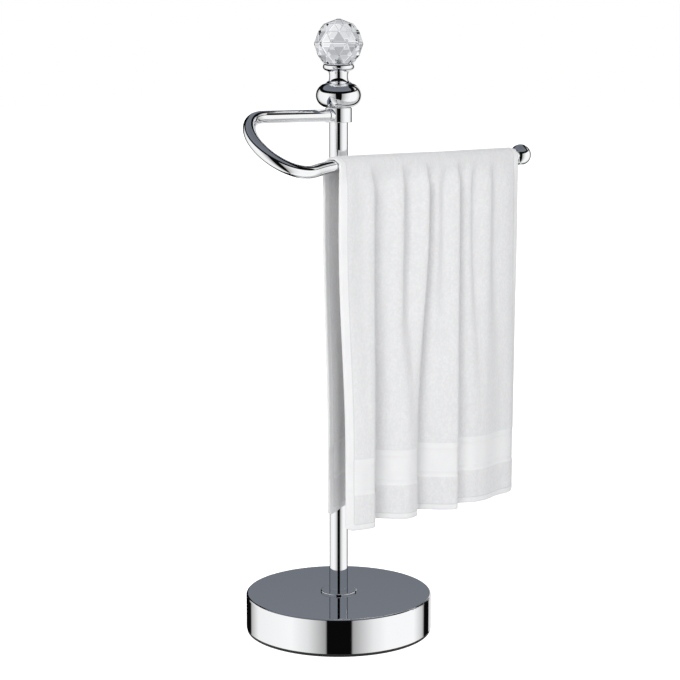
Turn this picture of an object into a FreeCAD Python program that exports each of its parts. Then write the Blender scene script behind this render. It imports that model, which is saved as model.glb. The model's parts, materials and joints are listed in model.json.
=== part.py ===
import FreeCAD, Part
import math
import os

import Sketcher

# Countertop hand-towel stand: a weighted round base, a slim post, and a bent tube arm that swivels
# on a spindle at the top of the post, under a turned finial with a faceted clear ball.
# Frame: origin at the centre of the underside, +Z up, +X along the towel bar, -Y the towel's side.

doc = FreeCAD.newDocument("towel_stand")
Vector = FreeCAD.Vector

# ---------------------------------------------------------------- sizes, in millimetres and degrees

SIZES = {
    # clearances
    "slip_gap": 0.05,               # radial, pieces assembled inside one another
    "running_gap": 0.05,            # between the turning arm and what carries it
    "open_gap": 0.3,                # round the post where the collar passes over it
    "soft_gap": 1.2,                # between the towel and the bar, which still bends at its first edge
    # base
    "base_diameter": 155,
    "base_height": 31,
    "base_wall": 1.5,
    "base_edge_round": 1.6,
    "foot_height": 2.4,
    "foot_inset": 0.6,
    "foot_lip_width": 9,
    "foot_lip_height": 1.5,
    "plate_thickness": 1.5,
    "plate_access_diameter": 44,
    "weight_recess_diameter": 40,
    "weight_recess_depth": 11,
    "screw_inset": 15,              # screw's axis inward from the foot pad's lip
    "screw_diameter": 4,
    "screw_length": 9,
    "screw_head_diameter": 7.6,
    "screw_head_height": 1.3,
    "screw_slot_width": 1,
    "screw_slot_depth": 0.7,
    "screw_hole_gap": 0.2,
    # bolt through the base
    "bolt_diameter": 10,
    "bolt_head_width": 16,
    "bolt_head_height": 6.4,
    "bolt_hole_gap": 0.4,
    "bolt_engagement": 18,
    "washer_diameter": 21,
    "washer_thickness": 2,
    "spring_washer_diameter": 17,
    "spring_washer_thickness": 2.2,
    "spring_washer_split": 1.2,
    # post
    "flange_diameter": 30,
    "flange_thickness": 1.6,
    "flange_round": 0.7,
    "post_diameter": 15.4,
    "post_wall": 1.3,
    "post_length": 393.4,
    "foot_insert_length": 24,
    # swivel
    "spindle_plug_length": 26,
    "spindle_diameter": 9,
    "lower_washer_thickness": 0.8,
    "upper_washer_thickness": 0.5,
    "washer_inset": 0.6,
    "collar_wall": 2.9,             # round the post, in the collar's recess
    "collar_top_wall": 0.55,        # above the arm's socket
    "collar_bottom_wall": 0.35,     # below the arm's socket
    "collar_recess_depth": 2,
    "collar_edge_round": 0.4,
    "bush_diameter": 12,
    # finial
    "bulb_height": 21,
    "bulb_foot_radius": 11.6,
    "bulb_belly_radius": 10.05,
    "bulb_shoulder_height": 18.6,
    "bulb_shoulder_radius": 12.7,
    "bulb_hollow_radius": 5.5,
    "bulb_top_radius": 8.9,
    "finial_thread_diameter": 8,
    "finial_thread_length": 25.5,
    "cup_height": 13.7,
    "cup_neck_radius": 8.25,
    "cup_neck_height": 7.6,
    "cup_waist_arc": 11.4,
    "cup_rim_start_radius": 10.9,
    "cup_rim_start_height": 8.8,
    "cup_rim_arc": 2.95,
    "cup_rim_top_radius": 11.9,
    "cup_bore_depth": 5,
    "crystal_thread_diameter": 6,
    "crystal_thread_in_cup": 7,
    "crystal_thread_in_ball": 6,
    "crystal_seat_thickness": 0.5,
    "crystal_seat_radius": 11,
    "crystal_diameter": 40,
    "crystal_apex_over": 0.6,       # how far the top point stands above the round
    "crystal_facets": 10,
    "crystal_row_one": 28.7,        # latitude of the first facet row above and below the girdle
    "crystal_row_two": 52,          # latitude of the second row
    "crystal_turn": 25,             # direction of one corner of the girdle, from +X
    # arm
    "arm_tube_diameter": 9.9,
    "arm_tube_wall": 1.2,
    "arm_tilt": 40.3,               # the plane of the bend, below horizontal
    "arm_upper_length": 88,
    "arm_bend_radius": 31.7,
    "arm_reverse_radius": 218,
    "arm_overturn": 12.5,           # how far the bend goes past a half turn
    "bar_ball_centre": 191.6,
    "arm_socket_depth": 1.5,
    "arm_thread_end_wall": 0.9,
    "arm_thread_diameter": 6,
    "arm_spigot_length": 18,
    "arm_ferrule_length": 5,
    "arm_ferrule_wall": 0.4,
    "end_ball_diameter": 18.6,
    "end_ball_socket": 4,           # distance of the socket's floor before the ball's centre
    "end_plug_length": 16,
    "end_thread_diameter": 5,
    "end_thread_length": 7,
    # towel
    "towel_width": 238,
    "towel_thickness": 2.5,
    "towel_front_drop": 294.5,
    "towel_back_drop": 277.5,
    "towel_end_gap": 0.3,
}

DERIVED = {
    "base_radius": "base_diameter / 2",
    "base_edge_start": "base_radius - base_edge_round",
    "shell_height": "base_height - foot_height",
    "shell_edge_height": "shell_height - base_edge_round",
    "shell_inner_height": "shell_height - base_wall",
    "shell_inner_radius": "base_radius - base_wall",
    "filling_radius": "shell_inner_radius - slip_gap",
    "foot_radius": "base_radius - foot_inset",
    "foot_lip_radius": "filling_radius - foot_lip_width",
    "foot_top": "foot_height + foot_lip_height",
    "plate_access_radius": "plate_access_diameter / 2",
    "weight_bottom": "foot_top + plate_thickness",
    "weight_height": "base_height - base_wall - weight_bottom",
    "weight_recess_radius": "weight_recess_diameter / 2",
    "bolt_hole_radius": "bolt_diameter / 2 + bolt_hole_gap",
    "bolt_washer_height": "weight_bottom + weight_recess_depth - washer_thickness",
    "bolt_spring_height": "bolt_washer_height - spring_washer_thickness",
    "bolt_shank_length": "base_height + bolt_engagement - bolt_spring_height",
    "bolt_thread_radius": "bolt_diameter / 2 + slip_gap",
    "bolt_radius": "bolt_diameter / 2",
    "screw_radius": "screw_diameter / 2",
    "screw_circle_radius": "foot_lip_radius - screw_inset",
    "screw_head_radius": "screw_head_diameter / 2",
    "screw_hole_radius": "screw_radius + screw_hole_gap",
    "screw_bore_radius": "screw_radius + slip_gap",
    "screw_bore_depth": "screw_length - plate_thickness + slip_gap",
    "spring_washer_half_split": "spring_washer_split / 2",
    "washer_radius": "washer_diameter / 2",
    "spring_washer_radius": "spring_washer_diameter / 2",
    "flange_radius": "flange_diameter / 2",
    "flange_edge_radius": "flange_radius - flange_round",
    "flange_edge_height": "flange_thickness - flange_round",
    "post_radius": "post_diameter / 2",
    "post_inner_radius": "post_radius - post_wall",
    "post_top": "base_height + post_length",
    "flange_bore_radius": "post_radius + slip_gap",
    "plug_radius": "post_inner_radius - slip_gap",
    "arm_tube_radius": "arm_tube_diameter / 2",
    "ferrule_bore_radius": "arm_tube_radius + slip_gap",
    "ferrule_radius": "ferrule_bore_radius + arm_ferrule_wall",
    "socket_radius": "ferrule_radius + slip_gap",
    "arm_axis_rise": "socket_radius + collar_bottom_wall",
    "collar_radius": "post_radius + open_gap + collar_wall",
    "collar_height": "arm_axis_rise + socket_radius + collar_top_wall",
    "collar_edge_radius": "collar_radius - collar_edge_round",
    "collar_edge_height": "collar_height - collar_edge_round",
    "collar_recess_radius": "post_radius + open_gap",
    "collar_bottom": "post_top + lower_washer_thickness + running_gap - collar_recess_depth",
    "collar_top": "collar_bottom + collar_height",
    "bush_radius": "bush_diameter / 2",
    "bush_bore_radius": "spindle_diameter / 2 + running_gap",
    "bush_height": "collar_height - collar_recess_depth",
    "bush_bottom": "collar_bottom + collar_recess_depth",
    "spindle_radius": "spindle_diameter / 2",
    "spindle_washer_radius": "spindle_radius + slip_gap",
    "lower_washer_radius": "post_radius",
    "upper_washer_radius": "collar_radius - washer_inset",
    "upper_washer_bottom": "collar_top + running_gap",
    "bulb_bottom": "upper_washer_bottom + upper_washer_thickness",
    "spindle_height": "bulb_bottom - post_top",
    "finial_thread_radius": "finial_thread_diameter / 2",
    "spindle_top": "spindle_height + finial_thread_length",
    "finial_bore_radius": "finial_thread_radius + slip_gap",
    "cup_bottom": "bulb_bottom + bulb_height",
    "cup_top": "cup_bottom + cup_height",
    "crystal_thread_radius": "crystal_thread_diameter / 2",
    "crystal_bore_radius": "crystal_thread_radius + slip_gap",
    "crystal_hole_floor": "cup_height - crystal_thread_in_cup",
    "crystal_bottom": "cup_top + crystal_seat_thickness",
    "crystal_stud_bottom": "cup_top - crystal_thread_in_cup + slip_gap",
    "crystal_stud_top": "crystal_bottom + crystal_thread_in_ball - slip_gap",
    "crystal_stud_length": "crystal_stud_top - crystal_stud_bottom",
    "crystal_radius": "crystal_diameter / 2",
    "crystal_rise": "crystal_radius * sin(crystal_row_two)",
    "arm_axis": "collar_bottom + arm_axis_rise",
    "arm_bend_rise": "arm_bend_radius * (1 + cos(arm_overturn))",
    "arm_leg_spacing": "arm_bend_rise - arm_reverse_radius * (1 - cos(arm_overturn))",
    "arm_bore_radius": "arm_tube_radius - arm_tube_wall",
    "arm_thread_radius": "arm_thread_diameter / 2",
    "arm_tapping_radius": "arm_thread_radius + slip_gap",
    "arm_spigot_radius": "arm_bore_radius - slip_gap",
    "arm_socket_floor": "collar_radius - arm_socket_depth",
    "arm_thread_floor": "bush_radius + arm_thread_end_wall",
    "arm_spigot_end": "arm_socket_floor + arm_spigot_length",
    "ferrule_end": "arm_socket_floor + arm_ferrule_length",
    "bar_end": "bar_ball_centre - end_ball_socket",
    "bar_side": "arm_leg_spacing * cos(arm_tilt)",
    "bar_height": "arm_axis - arm_leg_spacing * sin(arm_tilt)",
    "end_ball_radius": "end_ball_diameter / 2",
    "end_ball_bore_radius": "arm_tube_radius + slip_gap",
    "end_ball_mouth": "sqrt(end_ball_radius ^ 2 - end_ball_bore_radius ^ 2)",
    "end_thread_radius": "end_thread_diameter / 2",
    "end_tapping_radius": "end_thread_radius + slip_gap",
    "end_thread_top": "end_thread_length - end_ball_socket",
    "end_tapping_top": "end_thread_top + slip_gap",
    "end_plug_bottom": "end_ball_socket + end_plug_length",
    "towel_inner_radius": "arm_tube_radius + soft_gap",
    "towel_outer_radius": "towel_inner_radius + towel_thickness",
    "towel_start": "bar_ball_centre - end_ball_radius - towel_end_gap - towel_width",
}

sheet = doc.addObject("Spreadsheet::Sheet", "Sizes")
for row, (alias, number) in enumerate(SIZES.items(), start=1):
    sheet.set(f"A{row}", alias)
    sheet.set(f"B{row}", str(number))
    sheet.setAlias(f"B{row}", alias)
for row, (alias, formula) in enumerate(DERIVED.items(), start=1):
    sheet.set(f"C{row}", alias)
    sheet.set(f"D{row}", "=" + formula)
    sheet.setAlias(f"D{row}", alias)
doc.recompute()


def size(alias):
    """The number that the sheet holds for an alias, which may have a minus sign before it."""
    if alias.startswith("-"):
        return -size(alias[1:])
    return 0.0 if alias == "0" else float(sheet.get(alias))


def bind(thing, attribute, alias):
    thing.setExpression(attribute, "Sizes." + alias)


# ---------------------------------------------------------------- ways of making a piece

ORIGIN = (-1, 1)
HORIZONTAL_AXIS = -1
VERTICAL_AXIS = -2
START, END, CENTRE = 1, 2, 3


def new_sketch(body, name, plane, offset=None):
    """A sketch on one of the body's own origin planes, moved along the plane's normal by an alias."""
    sketch = body.newObject("Sketcher::SketchObject", name)
    origin_plane = next(item for item in body.Origin.OriginFeatures if item.Role == plane)
    sketch.AttachmentSupport = [(origin_plane, "")]
    sketch.MapMode = "FlatFace"
    if offset:
        sign = "-" if offset.startswith("-") else ""
        sketch.setExpression("AttachmentOffset.Base.z", sign + "Sizes." + offset.lstrip("-"))
    return sketch


def hold(sketch, kind, edge, point, alias, axis):
    """Ties one coordinate of a sketch point to the sheet, measured from the sketch's origin."""
    if alias == "0":
        sketch.addConstraint(Sketcher.Constraint("PointOnObject", edge, point, axis))
        return
    ends = (*ORIGIN, edge, point)
    if alias.startswith("-"):
        ends = (edge, point, *ORIGIN)
    index = sketch.addConstraint(Sketcher.Constraint(kind, *ends, abs(size(alias))))
    sketch.setExpression(f"Constraints[{index}]", "Sizes." + alias.lstrip("-"))


def arc_between(start, end, radius, side):
    """The shorter arc from start to end, bulging to the right of the way (side 1) or left (-1)."""
    chord = end - start
    height = math.sqrt(max(radius ** 2 - (chord.Length / 2) ** 2, 0))
    left = Vector(-chord.y, chord.x, 0) / chord.Length
    centre = start + chord / 2 + left * side * height
    first, last = (start, end) if side > 0 else (end, start)
    first_angle = math.atan2(first.y - centre.y, first.x - centre.x)
    last_angle = math.atan2(last.y - centre.y, last.x - centre.x)
    if last_angle < first_angle:
        last_angle += 2 * math.pi
    return Part.ArcOfCircle(Part.Circle(centre, Vector(0, 0, 1), radius), first_angle, last_angle)


def draw(sketch, outline, arcs):
    """A closed outline of (across, up) aliases. arcs gives a radius and side for curved edges."""
    points = [Vector(size(across), size(up), 0) for across, up in outline]
    count = len(points)
    ends = []
    for index, point in enumerate(points):
        following = points[(index + 1) % count]
        radius, side = arcs.get(index, (None, 1))
        if radius:
            sketch.addGeometry(arc_between(point, following, size(radius), side))
        else:
            sketch.addGeometry(Part.LineSegment(point, following))
        ends.append((START, END) if side > 0 else (END, START))
    for index in range(count):
        following = (index + 1) % count
        joint = (index, ends[index][1], following, ends[following][0])
        sketch.addConstraint(Sketcher.Constraint("Coincident", *joint))
    for index, (across, up) in enumerate(outline):
        hold(sketch, "DistanceX", index, ends[index][0], across, VERTICAL_AXIS)
        hold(sketch, "DistanceY", index, ends[index][0], up, HORIZONTAL_AXIS)
    for index, (radius, side) in arcs.items():
        number = sketch.addConstraint(Sketcher.Constraint("Radius", index, size(radius)))
        bind(sketch, f"Constraints[{number}]", radius)


def circle(sketch, radius, across="0", up="0"):
    """A circle whose radius and centre are tied to the sheet."""
    centre = Vector(size(across), size(up), 0)
    edge = sketch.addGeometry(Part.Circle(centre, Vector(0, 0, 1), size(radius)))
    hold(sketch, "DistanceX", edge, CENTRE, across, VERTICAL_AXIS)
    hold(sketch, "DistanceY", edge, CENTRE, up, HORIZONTAL_AXIS)
    number = sketch.addConstraint(Sketcher.Constraint("Radius", edge, size(radius)))
    bind(sketch, f"Constraints[{number}]", radius)


def place(thing, across="0", side="0", up="0", turn=None):
    """Puts a piece at aliases for X, Y and Z, after a turn about an axis."""
    if turn:
        thing.Placement.Rotation = FreeCAD.Rotation(*turn)
    for letter, alias in (("x", across), ("y", side), ("z", up)):
        if alias != "0":
            sign = "-" if alias.startswith("-") else ""
            thing.setExpression("Placement.Base." + letter, sign + "Sizes." + alias.lstrip("-"))


def turned(label, outline, arcs=None, **seat):
    """A turned piece: an outline of (radius, height) aliases revolved about the piece's own Z."""
    body = doc.addObject("PartDesign::Body", label)
    sketch = new_sketch(body, label + "_outline", "XZ_Plane")
    draw(sketch, outline, arcs or {})
    revolution = body.newObject("PartDesign::Revolution", label + "_turning")
    revolution.Profile = sketch
    revolution.ReferenceAxis = (sketch, ["V_Axis"])
    revolution.Angle = 360
    sketch.Visibility = False
    place(body, **seat)
    pieces.append(body)
    return body


def ring(label, inner, outer, height, **seat):
    """A plain turned ring, washer or tube."""
    outline = [(inner, "0"), (outer, "0"), (outer, height), (inner, height)]
    return turned(label, outline, **seat)


def drilled_circle(body, name, radius, depth, circle_radius, count):
    """Equal holes on a circle, from the body's underside upwards."""
    sketch = new_sketch(body, name + "_sketch", "XY_Plane")
    circle(sketch, radius, across=circle_radius)
    pocket = body.newObject("PartDesign::Pocket", name)
    pocket.Profile = sketch
    pocket.Reversed = True
    bind(pocket, "Length", depth)
    doc.recompute()
    pattern = body.newObject("PartDesign::PolarPattern", name + "_pattern")
    pattern.Originals = [pocket]
    pattern.Axis = (sketch, ["N_Axis"])
    pattern.Angle = 360
    pattern.Occurrences = count
    body.Tip = pattern


def radial_pocket(body, name, radius, floor, up):
    """A round hole into a turned piece from its -X side, as deep as its floor's distance from the axis."""
    sketch = new_sketch(body, name + "_sketch", "YZ_Plane", "-" + floor)
    circle(sketch, radius, up=up)
    pocket = body.newObject("PartDesign::Pocket", name)
    pocket.Profile = sketch
    pocket.Type = "ThroughAll"


pieces = []
SCREW_COUNT = 3
TO_FREE_END = (Vector(0, 1, 0), 90)        # turns a piece's own Z to +X
TO_BEND = (Vector(0, 1, 0), -90)           # turns a piece's own Z to -X

# ---------------------------------------------------------------- base

turned("base_shell", [
    ("bolt_hole_radius", "shell_height"),
    ("base_edge_start", "shell_height"),
    ("base_radius", "shell_edge_height"),
    ("base_radius", "0"),
    ("shell_inner_radius", "0"),
    ("shell_inner_radius", "shell_inner_height"),
    ("bolt_hole_radius", "shell_inner_height"),
], arcs={1: ("base_edge_round", -1)}, up="foot_height")

turned("foot_pad", [
    ("0", "0"),
    ("foot_radius", "0"),
    ("foot_radius", "foot_height"),
    ("filling_radius", "foot_height"),
    ("filling_radius", "foot_top"),
    ("foot_lip_radius", "foot_top"),
    ("foot_lip_radius", "foot_height"),
    ("0", "foot_height"),
])

plate = ring("base_plate", "plate_access_radius", "filling_radius", "plate_thickness", up="foot_top")
drilled_circle(plate, "plate_holes", "screw_hole_radius", "plate_thickness", "screw_circle_radius",
               SCREW_COUNT)

weight = turned("base_weight", [
    ("bolt_hole_radius", "weight_recess_depth"),
    ("weight_recess_radius", "weight_recess_depth"),
    ("weight_recess_radius", "0"),
    ("filling_radius", "0"),
    ("filling_radius", "weight_height"),
    ("bolt_hole_radius", "weight_height"),
], up="weight_bottom")
drilled_circle(weight, "screw_bores", "screw_bore_radius", "screw_bore_depth", "screw_circle_radius",
               SCREW_COUNT)


def solid(kind, name, **bound):
    """A Part primitive with its sizes tied to the sheet."""
    primitive = doc.addObject(kind, name)
    for attribute, alias in bound.items():
        bind(primitive, attribute, alias)
    return primitive


def boolean(kind, name, first, second):
    result = doc.addObject(kind, name)
    result.Base = first
    result.Tool = second
    return result


def pan_screw(name):
    """A slotted pan-head screw, pointing up, with the underside of its head at the origin."""
    shank = solid("Part::Cylinder", name + "_shank", Radius="screw_radius", Height="screw_length")
    head = solid("Part::Cylinder", name + "_disc", Radius="screw_head_radius", Height="screw_head_height")
    head.setExpression("Placement.Base.z", "-Sizes.screw_head_height")
    slot = solid("Part::Box", name + "_slot", Width="screw_slot_width", Length="screw_head_diameter",
                 Height="screw_slot_depth")
    slot.setExpression("Placement.Base.x", "-Sizes.screw_head_radius")
    slot.setExpression("Placement.Base.y", "-Sizes.screw_slot_width / 2")
    slot.setExpression("Placement.Base.z", "-Sizes.screw_head_height")
    slotted = boolean("Part::Cut", name + "_head", head, slot)
    return boolean("Part::Fuse", name, slotted, shank)


screws = []
for number in range(SCREW_COUNT):
    screw = pan_screw(f"plate_screw_{number + 1}")
    direction = 360 * number / SCREW_COUNT
    screw.setExpression("Placement.Base.x", f"Sizes.screw_circle_radius * cos({direction})")
    screw.setExpression("Placement.Base.y", f"Sizes.screw_circle_radius * sin({direction})")
    screw.setExpression("Placement.Base.z", "Sizes.foot_top")
    screws.append(screw)
base_plate_screws = doc.addObject("Part::Compound", "base_plate_screws")
base_plate_screws.Links = screws
pieces.append(base_plate_screws)

# ---------------------------------------------------------------- bolt through the base

bolt_head = solid("Part::Prism", "bolt_head", Height="bolt_head_height")
bolt_head.Polygon = 6
bolt_head.setExpression("Circumradius", "Sizes.bolt_head_width / sqrt(3)")
bolt_head.setExpression("Placement.Base.z", "-Sizes.bolt_head_height")
bolt_shank = solid("Part::Cylinder", "bolt_shank", Radius="bolt_radius", Height="bolt_shank_length")
foot_bolt = boolean("Part::Fuse", "foot_bolt", bolt_head, bolt_shank)
place(foot_bolt, up="bolt_spring_height")
pieces.append(foot_bolt)

ring("foot_washer", "bolt_thread_radius", "washer_radius", "washer_thickness", up="bolt_washer_height")

spring = ring("foot_spring_washer", "bolt_thread_radius", "spring_washer_radius",
              "spring_washer_thickness", up="bolt_spring_height")
split_sketch = new_sketch(spring, "split_sketch", "XY_Plane")
draw(split_sketch, [
    ("0", "-spring_washer_half_split"),
    ("spring_washer_diameter", "-spring_washer_half_split"),
    ("spring_washer_diameter", "spring_washer_half_split"),
    ("0", "spring_washer_half_split"),
], {})
split = spring.newObject("PartDesign::Pocket", "split")
split.Profile = split_sketch
split.Reversed = True
bind(split, "Length", "spring_washer_thickness")

ring("post_foot_insert", "bolt_thread_radius", "plug_radius", "foot_insert_length", up="base_height")

# ---------------------------------------------------------------- post

turned("post_flange", [
    ("flange_bore_radius", "0"),
    ("flange_radius", "0"),
    ("flange_radius", "flange_edge_height"),
    ("flange_edge_radius", "flange_thickness"),
    ("flange_bore_radius", "flange_thickness"),
], arcs={2: ("flange_round", 1)}, up="base_height")

ring("post_tube", "post_inner_radius", "post_radius", "post_length", up="base_height")

# ---------------------------------------------------------------- swivel

turned("pivot_spindle", [
    ("0", "-spindle_plug_length"),
    ("plug_radius", "-spindle_plug_length"),
    ("plug_radius", "0"),
    ("spindle_radius", "0"),
    ("spindle_radius", "spindle_height"),
    ("finial_thread_radius", "spindle_height"),
    ("finial_thread_radius", "spindle_top"),
    ("0", "spindle_top"),
], up="post_top")

ring("lower_thrust_washer", "spindle_washer_radius", "lower_washer_radius", "lower_washer_thickness",
     up="post_top")
ring("upper_thrust_washer", "spindle_washer_radius", "upper_washer_radius", "upper_washer_thickness",
     up="upper_washer_bottom")
ring("swivel_bush", "bush_bore_radius", "bush_radius", "bush_height", up="bush_bottom")

collar = turned("arm_collar", [
    ("bush_radius", "collar_recess_depth"),
    ("collar_recess_radius", "collar_recess_depth"),
    ("collar_recess_radius", "0"),
    ("collar_edge_radius", "0"),
    ("collar_radius", "collar_edge_round"),
    ("collar_radius", "collar_edge_height"),
    ("collar_edge_radius", "collar_height"),
    ("bush_radius", "collar_height"),
], arcs={3: ("collar_edge_round", 1), 5: ("collar_edge_round", 1)}, up="collar_bottom")
radial_pocket(collar, "arm_socket", "socket_radius", "arm_socket_floor", "arm_axis_rise")
radial_pocket(collar, "arm_tapping", "arm_tapping_radius", "arm_thread_floor", "arm_axis_rise")

# ---------------------------------------------------------------- finial

turned("finial_bulb", [
    ("finial_bore_radius", "0"),
    ("bulb_foot_radius", "0"),
    ("bulb_shoulder_radius", "bulb_shoulder_height"),
    ("bulb_top_radius", "bulb_height"),
    ("finial_bore_radius", "bulb_height"),
], arcs={1: ("bulb_belly_radius", 1), 2: ("bulb_hollow_radius", -1)}, up="bulb_bottom")

turned("crystal_cup", [
    ("0", "cup_bore_depth"),
    ("finial_bore_radius", "cup_bore_depth"),
    ("finial_bore_radius", "0"),
    ("cup_neck_radius", "0"),
    ("cup_neck_radius", "cup_neck_height"),
    ("cup_rim_start_radius", "cup_rim_start_height"),
    ("cup_rim_top_radius", "cup_height"),
    ("crystal_bore_radius", "cup_height"),
    ("crystal_bore_radius", "crystal_hole_floor"),
    ("0", "crystal_hole_floor"),
], arcs={3: ("cup_waist_arc", -1), 5: ("cup_rim_arc", 1)}, up="cup_bottom")

turned("crystal_stud", [
    ("0", "0"),
    ("crystal_thread_radius", "0"),
    ("crystal_thread_radius", "crystal_stud_length"),
    ("0", "crystal_stud_length"),
], up="crystal_stud_bottom")

ring("crystal_seat", "crystal_bore_radius", "crystal_seat_radius", "crystal_seat_thickness", up="cup_top")


def facet_row(latitude, half_step):
    """Corners of one row of the ball's facets, measured from the ball's centre."""
    count = int(size("crystal_facets"))
    radius = size("crystal_radius") * math.cos(math.radians(latitude))
    height = size("crystal_radius") * math.sin(math.radians(latitude))
    corners = []
    for number in range(count):
        angle = 2 * math.pi * (number + half_step) / count
        corners.append(Vector(radius * math.cos(angle), radius * math.sin(angle), height))
    return corners


def facet(*corners):
    return Part.Face(Part.makePolygon([*corners, corners[0]]))


def cut_ball():
    """The faceted ball: rows of triangles round a girdle, a low point on top and a flat base."""
    rows = [
        facet_row(-size("crystal_row_two"), 0),
        facet_row(-size("crystal_row_one"), 0.5),
        facet_row(0, 0),
        facet_row(size("crystal_row_one"), 0.5),
        facet_row(size("crystal_row_two"), 0),
    ]
    count = int(size("crystal_facets"))
    faces = [facet(*reversed(rows[0]))]
    for index, (lower, upper) in enumerate(zip(rows, rows[1:])):
        lag = index % 2
        for number in range(count):
            following = (number + 1) % count
            near_upper = upper[(number + lag) % count]
            far_lower = lower[(number + 1 - lag) % count]
            faces.append(facet(lower[number], lower[following], near_upper))
            faces.append(facet(upper[number], far_lower, upper[following]))
    apex = Vector(0, 0, size("crystal_radius") + size("crystal_apex_over"))
    for number in range(count):
        faces.append(facet(rows[-1][number], rows[-1][(number + 1) % count], apex))
    ball = Part.Solid(Part.Shell(faces))
    if ball.Volume < 0:
        ball.reverse()
    hole_floor = size("crystal_thread_in_ball")
    base = Vector(0, 0, -size("crystal_rise"))
    return ball.cut(Part.makeCylinder(size("crystal_bore_radius"), hole_floor, base))


crystal_ball = doc.addObject("Part::Feature", "crystal_ball")
crystal_ball.Shape = cut_ball()
crystal_ball.Placement.Rotation = FreeCAD.Rotation(Vector(0, 0, 1), size("crystal_turn"))
crystal_ball.setExpression("Placement.Base.z", "Sizes.crystal_bottom + Sizes.crystal_rise")
pieces.append(crystal_ball)

# ---------------------------------------------------------------- arm

turned("arm_spigot", [
    ("0", "arm_thread_floor"),
    ("arm_thread_radius", "arm_thread_floor"),
    ("arm_thread_radius", "arm_socket_floor"),
    ("arm_spigot_radius", "arm_socket_floor"),
    ("arm_spigot_radius", "arm_spigot_end"),
    ("0", "arm_spigot_end"),
], up="arm_axis", turn=TO_BEND)

turned("arm_ferrule", [
    ("ferrule_bore_radius", "arm_socket_floor"),
    ("ferrule_radius", "arm_socket_floor"),
    ("ferrule_radius", "ferrule_end"),
    ("ferrule_bore_radius", "ferrule_end"),
], up="arm_axis", turn=TO_BEND)


def bent_path(sketch):
    """The tube's centre line: upper leg, tight bend, long reverse arc, and the level towel bar."""
    bend, reverse = size("arm_bend_radius"), size("arm_reverse_radius")
    spacing, corner = size("arm_leg_spacing"), -size("arm_upper_length")
    overturn = math.radians(size("arm_overturn"))
    bend_centre = Vector(corner, bend, 0)
    joint = bend_centre + Vector(math.sin(overturn), math.cos(overturn), 0) * bend
    level = Vector(joint.x + reverse * math.sin(overturn), spacing, 0)
    reverse_centre = level + Vector(0, reverse, 0)
    quarter = math.pi / 2
    upward = Vector(0, 0, 1)
    sketch.addGeometry(Part.LineSegment(Vector(-size("arm_socket_floor"), 0, 0), Vector(corner, 0, 0)))
    sketch.addGeometry(Part.ArcOfCircle(Part.Circle(bend_centre, upward, bend),
                                        quarter - overturn, 3 * quarter))
    sketch.addGeometry(Part.ArcOfCircle(Part.Circle(reverse_centre, upward, reverse),
                                        3 * quarter - overturn, 3 * quarter))
    sketch.addGeometry(Part.LineSegment(level, Vector(size("bar_end"), spacing, 0)))
    hold(sketch, "DistanceX", 0, START, "-arm_socket_floor", VERTICAL_AXIS)
    hold(sketch, "DistanceY", 0, START, "0", HORIZONTAL_AXIS)
    hold(sketch, "DistanceX", 0, END, "-arm_upper_length", VERTICAL_AXIS)
    hold(sketch, "DistanceY", 0, END, "0", HORIZONTAL_AXIS)
    for joined in ((0, END, 1, END), (1, START, 2, START), (2, END, 3, START)):
        sketch.addConstraint(Sketcher.Constraint("Tangent", *joined))
    for edge, radius in ((1, "arm_bend_radius"), (2, "arm_reverse_radius")):
        number = sketch.addConstraint(Sketcher.Constraint("Radius", edge, size(radius)))
        bind(sketch, f"Constraints[{number}]", radius)
    sketch.addConstraint(Sketcher.Constraint("Horizontal", 3))
    hold(sketch, "DistanceX", 3, END, "bar_end", VERTICAL_AXIS)
    hold(sketch, "DistanceY", 3, END, "arm_leg_spacing", HORIZONTAL_AXIS)


arm_tube = doc.addObject("PartDesign::Body", "arm_tube")
path = new_sketch(arm_tube, "arm_path", "XY_Plane")
bent_path(path)
section = new_sketch(arm_tube, "arm_section", "YZ_Plane", "-arm_socket_floor")
circle(section, "arm_tube_radius")
circle(section, "arm_bore_radius")
pipe = arm_tube.newObject("PartDesign::AdditivePipe", "arm_pipe")
pipe.Profile = section
pipe.Spine = path
arm_tube.Placement.Rotation = FreeCAD.Rotation(Vector(1, 0, 0), 180)
arm_tube.setExpression("Placement.Rotation.Angle", "180 + Sizes.arm_tilt")
place(arm_tube, up="arm_axis")
pieces.append(arm_tube)

bar_seat = {"across": "bar_ball_centre", "side": "-bar_side", "up": "bar_height", "turn": TO_FREE_END}

turned("arm_end_plug", [
    ("0", "-end_plug_bottom"),
    ("arm_spigot_radius", "-end_plug_bottom"),
    ("arm_spigot_radius", "-end_ball_socket"),
    ("end_thread_radius", "-end_ball_socket"),
    ("end_thread_radius", "end_thread_top"),
    ("0", "end_thread_top"),
], **bar_seat)

turned("end_ball", [
    ("0", "end_tapping_top"),
    ("end_tapping_radius", "end_tapping_top"),
    ("end_tapping_radius", "-end_ball_socket"),
    ("end_ball_bore_radius", "-end_ball_socket"),
    ("end_ball_bore_radius", "-end_ball_mouth"),
    ("0", "end_ball_radius"),
], arcs={4: ("end_ball_radius", 1)}, **bar_seat)

# ---------------------------------------------------------------- towel

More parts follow.
